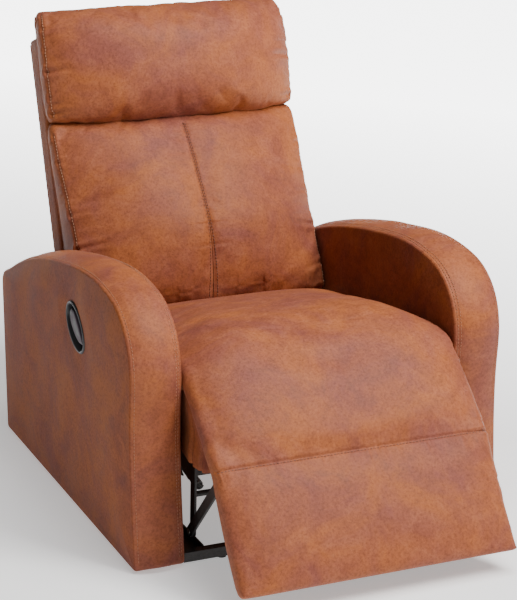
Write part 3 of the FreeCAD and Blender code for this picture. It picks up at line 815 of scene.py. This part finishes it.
CUSHION_EDGE = [(14, -50), (22, -82), (40, -96), (110, -84), (211, -64), (288, -47), (371, -26), (440, -10),
                (454, 2), (462, 18)]
CUSHION_MIDDLE = [(14, -70), (22, -104), (40, -122), (112, -144), (193, -150), (267, -130), (357, -94),
                  (420, -64), (446, -40), (456, -16), (462, 8)]
CUSHION_HALVES = [(14, 289), (200, 289), (300, 292), (380, 295), (440, 294), (462, 288)]
CUSHION_TUCKS = [(0.36, 85.0, 16.0, 3.2), (0.55, 60.0, 12.0, 2.2), (0.14, 70.0, -10.0, 2.6),
                 (0.85, 40.0, -8.0, 1.6)]


def back_cushion():
    """Tall back cushion, pulled in by a seam down its middle."""
    ups = np.linspace(14, 462, 90)
    rings = upright_rings(ups, CUSHION_EDGE, CUSHION_MIDDLE, np.full(90, 28.0), CUSHION_HALVES, 2.3)
    cushion = piece("back_cushion_cover", *loft(rings), LEATHER)

    def held(p):
        rearward = rearward_of(p)
        front_seam = (np.abs(p[:, 0]) < 4.0) & (rearward < -20)
        return (rearward > 8) | front_seam | held_side_seam(p, CUSHION_EDGE, 14)

    puff(cushion, 16.0, held)
    ups = np.linspace(30, 430, 120)
    centre = back_line(ups, by_height(CUSHION_MIDDLE, ups), 0.0)
    sew_along(cushion, centre, BACK_FRONT, 2.6, width=3.4, pucker=0.9, reach=70.0, spacing=30.0, seed=21)
    seam, _ = on_surface(cushion, centre, BACK_FRONT, 0.1)
    seam_cord("back_centre_seam", seam, "back", "leather")
    side_seams(cushion, "back_cushion", ups, CUSHION_EDGE, 26.0, CUSHION_HALVES, 30, CUSHION_TUCKS)
    for side in (1, -1):
        foot = back_line(50.0, -130.0, np.linspace(20, 270, 90) * side)
        sew_along(cushion, foot, BACK_FRONT, 0.0, pucker=2.0, reach=60.0, spacing=38.0, seed=40 + side)
    keep_rest(cushion)
    fitted(cushion, "leather", "back", "back_cushion")
    for side in (1, -1):
        spread = 3.5 + 6.0 * np.clip((200 - ups) / 150, 0, 1)
        row = centre + np.outer(side * spread, (1.0, 0.0, 0.0))
        name = "back_seam_stitches_" + side_name(side)
        stitch_along(cushion, name, row, BACK_FRONT, 0.5, THREAD_DARK, "back")


def up_of(p):
    return (p[:, 1] - HINGE[0]) * math.sin(LEAN) + (p[:, 2] - HINGE[1]) * math.cos(LEAN)


PILLOW_EDGE = [(448, 16), (452, -2), (463, -16), (560, -24), (660, -20), (694, -6), (706, 12), (711, 24)]
PILLOW_MIDDLE = [(448, -26), (452, -60), (463, -78), (560, -92), (650, -84), (694, -52),
                 (706, -20), (711, 12)]
PILLOW_REAR = [(448, 30), (560, 31), (659, 31), (684, 38), (711, 34)]
PILLOW_HALVES = [(448, 289), (474, 294), (560, 296), (660, 294), (711, 286)]
PILLOW_TUCKS = [(0.44, 70.0, 4.0, 3.6), (0.04, 46.0, 3.0, 4.2), (0.20, 34.0, 22.0, 2.0),
                (0.66, 36.0, 22.0, 2.0), (0.86, 40.0, 20.0, 2.2)]


def head_pillow():
    """Head pillow over the top of the back cushion, its lower corners raised."""
    ups = np.linspace(448, 711, 80)
    rear = by_height(PILLOW_REAR, ups)
    points, faces = loft(upright_rings(ups, PILLOW_EDGE, PILLOW_MIDDLE, rear, PILLOW_HALVES, 2.8))
    pillow = piece("head_pillow_cover", lift_corners(points), faces, LEATHER)

    def held(p):
        return (rearward_of(p) > 16) | held_side_seam(p, PILLOW_EDGE, 12)

    puff(pillow, 18.0, held)
    side_seams(pillow, "pillow", np.linspace(470, 700, 90), PILLOW_EDGE, 28.0, PILLOW_HALVES, 60,
               PILLOW_TUCKS)
    keep_rest(pillow)
    fitted(pillow, "leather", "back", "head_pillow")


def lift_corners(points):
    """Raises the lower corners of the pillow, so its lower edge hangs in a shallow curve."""
    up = up_of(points)
    rise = 12.0 * (np.abs(points[:, 0]) / BACK_HALF) ** 6 * np.clip((560 - up) / 110.0, 0, 1)
    return points + rise[:, None] * np.array([0.0, math.sin(LEAN), math.cos(LEAN)])


def back_shell():
    """Rear cover: side walls, padded rear panel and top, with a welt down each rear corner."""
    front, rear = 33.0, 103.0
    foot, top = 25.0, 659.0
    corner = 16.0
    profile = [(-BACK_HALF + 14, front), (-BACK_HALF + 3, front - 1), (-BACK_HALF, front + 4)]
    profile += [(-BACK_HALF - 1.5, v) for v in np.linspace(front + 12, rear - corner - 2, 6)]
    profile += [(-BACK_HALF + corner * (1 - math.cos(a)), rear - corner * (1 - math.sin(a)))
                for a in np.linspace(0, math.pi / 2, 7)]
    profile += [(x, rear + 7.0 * (1 - (x / 270.0) ** 2)) for x in np.linspace(-250, 0, 14)]
    xs, vs = np.array(profile + [(-x, v) for x, v in profile[-2::-1]]).T
    rings = [back_line(up, vs, xs) for up in [foot - 2, *np.linspace(foot, top - corner, 60)]]
    for a in np.linspace(0, math.pi / 2, 8)[1:]:
        pull = corner * (1 - math.cos(a))
        depth = np.where(vs > front + 20, np.minimum(vs, rear + 7 - pull), vs)
        half = np.minimum(np.abs(xs), BACK_HALF + 1.5 - pull)
        rings.append(back_line(top - corner + corner * math.sin(a), depth, np.copysign(half, xs)))
    rings.append(back_line(top, front + (vs - front) * 0.2, xs * 0.2))
    points, faces = grid_sheet(rings)
    faces.append(tuple(range(len(points) - len(xs), len(points))))
    shell = piece("back_shell_cover", points, faces, SHADE_PAINTED_LEATHER)
    fitted(shell, "leather_side", "back", "back_shell")
    for side in (1, -1):
        line = back_line(np.linspace(foot + 6, top - 12, 120), rear - 4.0, side * (BACK_HALF - 3.5))
        welt("back_shell_welt_" + side_name(side), line, 2.8, WELT_LEATHER, "back", "leather_side")


# ---- arms


def side_name(side):
    return "left" if side > 0 else "right"


def arm_outline():
    """Closed outline of an arm's side face, read from the frame, evened out and softened."""
    points = mesh_points(frame["nodes"]["arm_side_panel_left"])
    outer = points[points[:, 0] > ARM_OUTER - 0.01][:, 1:]
    angle = np.arctan2(outer[:, 1] - ARM_CENTRE[1], outer[:, 0] - ARM_CENTRE[0])
    ring = outer[np.argsort(-angle)]
    ring = ring[np.concatenate([[True], np.linalg.norm(np.diff(ring, axis=0), axis=1) > 0.5])]
    loop = resample(np.vstack([ring, ring[:1]]), 521)[:-1]
    for _ in range(5):
        loop = 0.25 * np.roll(loop, 1, axis=0) + 0.5 * loop + 0.25 * np.roll(loop, -1, axis=0)
    return loop


def outward(loop):
    """Unit normals of a closed outline, pointing away from the arm."""
    tangent = unit(np.roll(loop, -1, axis=0) - np.roll(loop, 1, axis=0))
    return np.column_stack([-tangent[:, 1], tangent[:, 0]])


def corner_arc(first, last, steps):
    """(x beyond the flat, drop) pairs round an arm's long edge between two angles."""
    return [(ARM_HALF - CORNER + CORNER * math.sin(a), CORNER * (1 - math.cos(a)))
            for a in np.linspace(first, last, steps)]


def band_crown(x, normals):
    """How far the padded strip stands out at a place across it; none where it faces the floor."""
    across = np.clip(1 - (np.abs(x) / (ARM_HALF - CORNER)) ** 2.4, 0, 1)
    return BAND_CROWN * across * off_floor(normals)


def off_floor(normals):
    """1 on the parts of an outline that face up or sideways, falling to 0 where it faces the floor."""
    return np.clip(1 + 1.6 * np.minimum(normals[:, 1], 0), 0, 1)


def arm_band(side, loop, normals):
    """Padded strip round the edge of an arm, sewn down both long edges."""
    flat = ARM_HALF - CORNER
    section = [(x, 0.0) for x in np.linspace(0, flat, 12)[:-1]] + corner_arc(0, math.pi / 4, 5)
    seam_x, seam_drop = section[-1]
    section += [(seam_x - 0.2, seam_drop + SEAM_DEPTH * 0.6), (seam_x - 1.4, seam_drop + SEAM_DEPTH)]
    section = [(-x, drop) for x, drop in section[:0:-1]] + section
    along = np.concatenate([[0], np.cumsum(np.linalg.norm(np.diff(loop, axis=0), axis=1))])
    soft = 1.6 * wobble(along, 70 + side, 70.0) * off_floor(normals)
    columns = []
    for x, drop in section:
        give = drop - band_crown(x, normals) - soft * (1 - (x / ARM_HALF) ** 2)
        columns.append(at_x(side * (ARM_MIDDLE + x), loop - normals * give[:, None]))
    strip = grid_sheet(np.stack(columns, axis=1), wrap_rows=True)
    band = piece("arm_band_cover_" + side_name(side), *strip, LEATHER)
    fitted(band, "leather_side", "base", "arm_band_" + side_name(side))


def in_handle(along, across):
    """(y, z) of places given along and across the handle's own tilt."""
    return np.column_stack([HANDLE[0] + along * math.cos(HANDLE_TILT) - across * math.sin(HANDLE_TILT),
                            HANDLE[1] + along * math.sin(HANDLE_TILT) + across * math.cos(HANDLE_TILT)])


def handle_ring(long_half, short_half, angles):
    """An oval round the middle of the handle."""
    return in_handle(long_half * np.cos(angles), short_half * np.sin(angles))


def arm_panel(side, face, loop, normals):
    """One padded side panel of an arm; face is +1 for the outer panel and -1 for the inner one."""
    has_handle = side < 0 and face > 0
    arc = corner_arc(math.pi / 4, math.pi / 2, 6)
    seam_x, seam_drop = arc[0]
    profile = [(seam_x - 1.6, seam_drop + SEAM_DEPTH), (seam_x - 0.9, seam_drop + 0.5)] + arc
    rings = [at_x(side * (ARM_MIDDLE + face * x), loop - normals * drop) for x, drop in profile]
    rim = rings[-1][:, 1:]
    angle = np.arctan2(rim[:, 1] - HANDLE[1], rim[:, 0] - HANDLE[0]) - HANDLE_TILT
    hole = handle_ring(60.0, 35.0, angle) if has_handle else handle_ring(5.0, 5.0, angle)
    bulge = PANEL_BULGE if face > 0 else INNER_BULGE
    for t in np.linspace(0, 1, 44)[1:] ** 1.25:
        flat = rim + (hole - rim) * t
        from_rim = np.linalg.norm(flat - rim, axis=1)
        padding = bulge * (1 - np.clip(1 - from_rim / 130.0, 0, 1) ** 2.2)
        if has_handle:
            padding *= 0.30 + 0.70 * np.clip(np.linalg.norm(flat - hole, axis=1) / 55.0, 0, 1) ** 0.8
        ripple = np.clip(from_rim / 60.0, 0, 1) * (
            0.9 * np.sin(flat[:, 0] / 47.0 + side) * np.sin(flat[:, 1] / 61.0 + face)
            + 0.5 * np.sin(flat[:, 0] / 23.0 + flat[:, 1] / 39.0 + 2 * side))
        rings.append(at_x(side * (ARM_MIDDLE + face * (ARM_HALF + padding + ripple)), flat))
    label = "side" if face > 0 else "inner"
    panel = piece("arm_%s_cover_%s" % (label, side_name(side)),
                  *loft(rings, open_start=True, open_end=has_handle), SHADE_PAINTED_LEATHER)
    fitted(panel, "leather_side", "base", "arm_%s_panel_%s" % (label, side_name(side)))


def arm_stitching(side, loop, normals):
    """Topstitching beside both seams of a band: one row outside, two rows inside."""
    seen = np.nonzero(normals[:, 1] > -0.55)[0]
    start = seen[np.argmax(np.diff(np.concatenate([[seen[-1] - len(loop)], seen])))]
    order = np.roll(np.arange(len(loop)), -start)[3:len(seen) - 3]
    for label, x in (("outer", ARM_HALF - 8.5), ("inner", -ARM_HALF + 8.0),
                     ("inner_second", -ARM_HALF + 13.5)):
        row = at_x(side * (ARM_MIDDLE + x), loop + normals * band_crown(x, normals)[:, None])
        stitches("arm_stitches_%s_%s" % (label, side_name(side)), row[order], at_x(0.0, normals)[order],
                 THREAD_ORANGE, "base", "leather_side")


def arms():
    loop = arm_outline()
    normals = outward(loop)
    for side in (1, -1):
        arm_band(side, loop, normals)
        arm_panel(side, 1, loop, normals)
        arm_panel(side, -1, loop, normals)
        arm_stitching(side, loop, normals)


# ---- release handle
# (long half, short half, x from the handle's face) of the rim and the recess of the bezel
BEZEL = [(61.8, 43.5, 3.0), (61.8, 43.5, -1.0), (61.0, 42.6, -3.0), (59.8, 41.0, -4.2), (57.6, 38.2, -4.2),
         (56.4, 36.4, -2.6), (56.0, 35.0, -0.5), (55.4, 31.0, 4.0), (54.8, 28.0, 13.0), (54.0, 26.0, 22.0),
         (50.5, 22.5, 26.5), (40.0, 14.0, 27.5), (8.0, 4.0, 27.5)]
# leaf outline (along, across) of the pull, and the (scale, x) of its rounded section
PADDLE = [(37, 12), (45, 6), (35, 1), (42, -8), (31, -17), (4, -21), (-24, -17), (-42, -7), (-46, 0),
          (-36, 7), (-12, 13), (8, 17), (25, 18), (37, 12)]
PADDLE_SECTION = [(0.90, 4.0), (0.985, 2.6), (1.0, 0.5), (0.99, -1.2), (0.93, -2.8), (0.80, -3.6),
                  (0.5, -3.0), (0.1, -2.6)]


def handle():
    """Recessed bezel let into the right arm, with its pull."""
    angles = np.linspace(0, 2 * math.pi, 72, endpoint=False)
    rings = [at_x(HANDLE_FACE + x, handle_ring(a, b, angles)) for a, b, x in BEZEL]
    bezel = piece("handle_bezel_shell", *loft(rings, open_start=True), PLASTIC)
    fitted(bezel, "plastic", "base", "handle_bezel")
    rim = spline(PADDLE, 97)[:-1]
    middle = np.array([2.0, -3.5])
    rings = []
    for scale, x in PADDLE_SECTION:
        along, across = (middle + (rim - middle) * scale).T
        rings.append(at_x(HANDLE_FACE + 2.0 + x, in_handle(along, across)))
    fitted(piece("handle_paddle_leaf", *loft(rings), PADDLE_PLASTIC), "plastic", "handle")


# ---- under the seat


GUSSET_TOP = [(-388, 362), (-430, 362), (-476, 344), (-524, 306), (-574, 254)]
GUSSET_FOOT = [(-396, 222), (-430, 216), (-480, 216), (-524, 222), (-566, 240)]
GUSSET_HALF = 284.0         # x of their outer face where they hang flat
APRON_HALF = 241.0
APRON_Y = -389.5
APRON_TOP = 318.0
APRON_DROP = 126.0


def gussets():
    """Gathered leather side pieces that close the gap under the flap of the leg rest."""
    columns, rows = 70, 26
    along = np.linspace(0, 1, columns)
    top = resample(spline(GUSSET_TOP, 200), columns)
    foot = resample(spline(GUSSET_FOOT, 200), columns)
    for side in (1, -1):
        fold = 3.5 + 3.5 * wobble(along * 6, 95 + side, 1.0)
        fold += 9.0 * np.exp(-((along - 0.34) / 0.04) ** 2) + 7.0 * np.exp(-((along - 0.62) / 0.035) ** 2)
        layers = []
        for skin in (0.0, LEATHER_THICK):
            layers.append([at_x(side * (GUSSET_HALF - skin - fold * t ** 0.6 + 2.0 * math.sin(9 * t)),
                                top + (foot - top) * t) for t in np.linspace(0, 1, rows)])
        made = piece("leg_rest_gusset_" + side_name(side), *thin_sheet(*np.array(layers)), SHADE_PAINTED_LEATHER)
        follow_flap(made)


def thin_sheet(front, back):
    """Joins two grids of points into one closed thin sheet."""
    rows, columns, _ = front.shape
    offset = rows * columns
    faces = grid_faces(rows, columns)
    faces += [tuple(offset + k for k in reversed(face)) for face in faces]
    rim = (list(range(columns)) + [r * columns + columns - 1 for r in range(1, rows)]
           + [(rows - 1) * columns + k for k in range(columns - 2, -1, -1)]
           + [r * columns for r in range(rows - 2, 0, -1)])
    faces += [(a, b, b + offset, a + offset) for a, b in zip(rim, rim[1:] + rim[:1])]
    return np.vstack([front.reshape(-1, 3), back.reshape(-1, 3)]), faces


def apron():
    """Leather panel hanging under the seat front between the side plates, with soft folds."""
    x = np.linspace(-APRON_HALF, APRON_HALF, 120)
    folds = 3.2 * wobble((x + APRON_HALF) / 55.0, 91, 1.0)
    layers = []
    for skin in (0.0, LEATHER_THICK):
        layers.append([np.column_stack([x, APRON_Y + skin + np.clip(folds * t ** 0.8, -2.5, 4.0),
                                        np.full(len(x), APRON_TOP - APRON_DROP * t)])
                       for t in np.linspace(0, 1, 24)])
    made = piece("front_apron_cover", *thin_sheet(*np.array(layers)), SHADE_PAINTED_LEATHER)
    fitted(made, "leather_side", "seat", "front_apron")


def leg_rest_back():
    """Leather wrapped round the board behind the lower pad, with a black dust cover let in."""
    down = unit(np.subtract(PAD_END, PAD_SEAM))
    behind = np.array([-down[1], down[0]])
    local = mesh_points(frame["nodes"]["leg_rest_board"])[:, 1:] - PAD_SEAM
    low, high = (local @ down).min(), (local @ down).max()
    front, back = (local @ behind).min(), (local @ behind).max()
    slab("leg_rest_wrap", SHADE_PAINTED_LEATHER, "leather_side", down, behind,
         (SEAT_HALF - 13, low - 1, high + 1, front - 6, back + 0.6), 7.0, "leg_rest_board")
    slab("leg_rest_dust_cover", DUST_CLOTH, "cable_jacket", down, behind,
         (SEAT_HALF - 26, low + 20, high - 20, back - 0.4, back + 1.2), 0.6)


def slab(name, material, slot_name, down, behind, sizes, edge, *nodes):
    """A soft-edged slab in the lower pad's own axes; sizes are half width, low, high, front, back."""
    half, low, high, front, back = sizes
    depth = (back - front) / 2
    edge = min(edge, depth * 0.95)
    turn = np.linspace(math.pi / 2, -math.pi / 2, 7)[1:-1]
    rings = []
    for x, pull in ((-half, edge), (-half + edge * 0.3, edge * 0.3), (-half + edge, 0.0), (0.0, 0.0),
                    (half - edge, 0.0), (half - edge * 0.3, edge * 0.3), (half, edge)):
        runs = np.linspace(low + pull + edge, high - pull - edge, 20)
        bow = edge * np.cos(turn)
        rise = (front + back) / 2 + (depth - pull) * np.sin(turn)
        run = np.concatenate([runs, runs[-1] + bow, runs[::-1], runs[0] - bow])
        off = np.concatenate([np.full(20, back - pull), rise, np.full(20, front + pull), rise[::-1]])
        rings.append(at_x(x, PAD_SEAM + np.outer(run, down) + np.outer(off, behind)))
    fitted(piece(name, *loft(rings), material), slot_name, "leg_rest", *nodes)


def rivet(name, x, point, side, body, radius=7.5):
    """Domed rivet head on the outer face of a link."""
    rings = []
    for share, rise in ((1.0, 0.0), (1.0, 0.8), (0.92, 1.6), (0.7, 2.5), (0.4, 3.0), (0.08, 3.1)):
        centre = np.array([side * (x + rise), *point])
        rings.append(circle(centre, np.array([0, 1, 0]), np.array([0, 0, 1]), radius * share, 20))
    fitted(piece(name, *loft(rings), ZINC), "pin_steel", body)


def rivets():
    """Rivet heads at the pivots that show."""
    for side in (1, -1):
        tag = side_name(side)
        rivet("lower_rivet_" + tag, LINK_FACE, (-383.6, 42.1), side, "leg_swing_arms")
        rivet("upper_rivet_" + tag, LINK_FACE, (-543.6, 204.1), side, "diagonal_links")
        rivet("leg_pivot_rivet_" + tag, PLATE_FACE, (-400.0, 308.0), side, "seat", 8.0)
        rivet("recline_rivet_" + tag, PLATE_FACE, HINGE, side, "seat", 10.0)


def return_springs():
    """Tension coils from pegs on the seat plates to the cross tube; they stretch as the arms swing."""
    coil, wire, pitch, x = 8.0, 1.6, 5.0, 232.0
    tube_end = np.array([0.0, -368.0, 130.0])
    peg_end = np.array([0.0, -246.0, 149.0])
    reach = np.linalg.norm(peg_end - tube_end)
    along = unit(peg_end - tube_end)
    aside = np.array([1.0, 0.0, 0.0])
    turn = np.linspace(0, 2 * math.pi * reach / pitch, int(16 * reach / pitch))[:, None]
    out = np.cos(turn) * aside + np.sin(turn) * np.cross(along, aside)
    line = tube_end + along * pitch * turn / (2 * math.pi)
    coils = []
    for side in (1, -1):
        strands = [line + (coil + wire * math.cos(a)) * out + wire * math.sin(a) * along + side * x * aside
                   for a in np.linspace(0, 2 * math.pi, 8, endpoint=False)]
        coils.append(loft(np.stack(strands, axis=1)))
    made = piece("return_spring_coils", *joined(coils), SPRING)
    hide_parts("return_springs")
    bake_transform(made, "seat", "leg_swing_arms", start=to_row(peg_end), end=to_row(tube_end))


# ---- frame parts that show

FINISHES = {"steel": STEEL, "spring_wire": SPRING, "pin_steel": ZINC, "timber": PINE, "plastic": PLASTIC,
            "glide_plastic": NYLON, "cable_jacket": JACKET, "leather": LEATHER, "leather_side": SHADE_PAINTED_LEATHER}


def dress_frame():
    """Gives every CAD node its finish from the record's slots."""
    slots = {row["node"]: row["material_slot"] for row in frame["record"]["subparts"]}
    for name, obj in frame["nodes"].items():
        obj.data.materials.clear()
        obj.data.materials.append(FINISHES[slots[name]])


# ---- stage


def area_light(name, place, size, power, colour=(1, 1, 1)):
    """A square light aimed at the middle of the chair."""
    data = bpy.data.lights.new(name, "AREA")
    data.shape = "SQUARE"
    data.size = size
    data.energy = power
    data.color = colour
    light = linked(name, data)
    light.location = place
    light.rotation_euler = (Vector((0.0, 0.0, 0.45)) - light.location).to_track_quat("-Z", "Y").to_euler()


def stage():
    """Floor, lights, a dim white world and the camera."""
    mesh = bpy.data.meshes.new("studio_floor")
    corners = [(x * FLOOR_HALF, y * FLOOR_HALF, 0) for x, y in ((-1, -1), (1, -1), (1, 1), (-1, 1))]
    mesh.from_pydata(corners, [], [(0, 1, 2, 3)])
    mesh.materials.append(painted("studio_floor_paint", studio_floor))
    linked("studio_floor", mesh)
    world = bpy.data.worlds.new("studio")
    bpy.context.scene.world = world
    world.use_nodes = True
    background = world.node_tree.nodes["Background"]
    background.inputs["Color"].default_value = colour_of(1.0)
    background.inputs["Strength"].default_value = 0.11
    area_light("key", (1.5, -2.3, 3.3), 1.5, 158.0, (1.0, 0.98, 0.95))
    area_light("top", (0.5, -0.9, 3.9), 2.2, 128.0)
    lens = bpy.data.cameras.new("camera")
    lens.lens = 119.4
    lens.sensor_width = 36.0
    lens.shift_x = -0.0035
    lens.shift_y = -0.0188
    lens.clip_end = 250.0
    camera = linked("camera", lens)
    camera.location = (-1.567, -3.807 + ORIGIN_SHIFT_Y / 1000, 1.638)
    camera.rotation_euler = Vector((0.3762, 0.8815, -0.2855)).to_track_quat("-Z", "Y").to_euler()
    bpy.context.scene.camera = camera


dress_frame()
arms()
handle()
chaise_pad()
back_cushion()
head_pillow()
back_shell()
apron()
gussets()
leg_rest_back()
rivets()
return_springs()
stage()
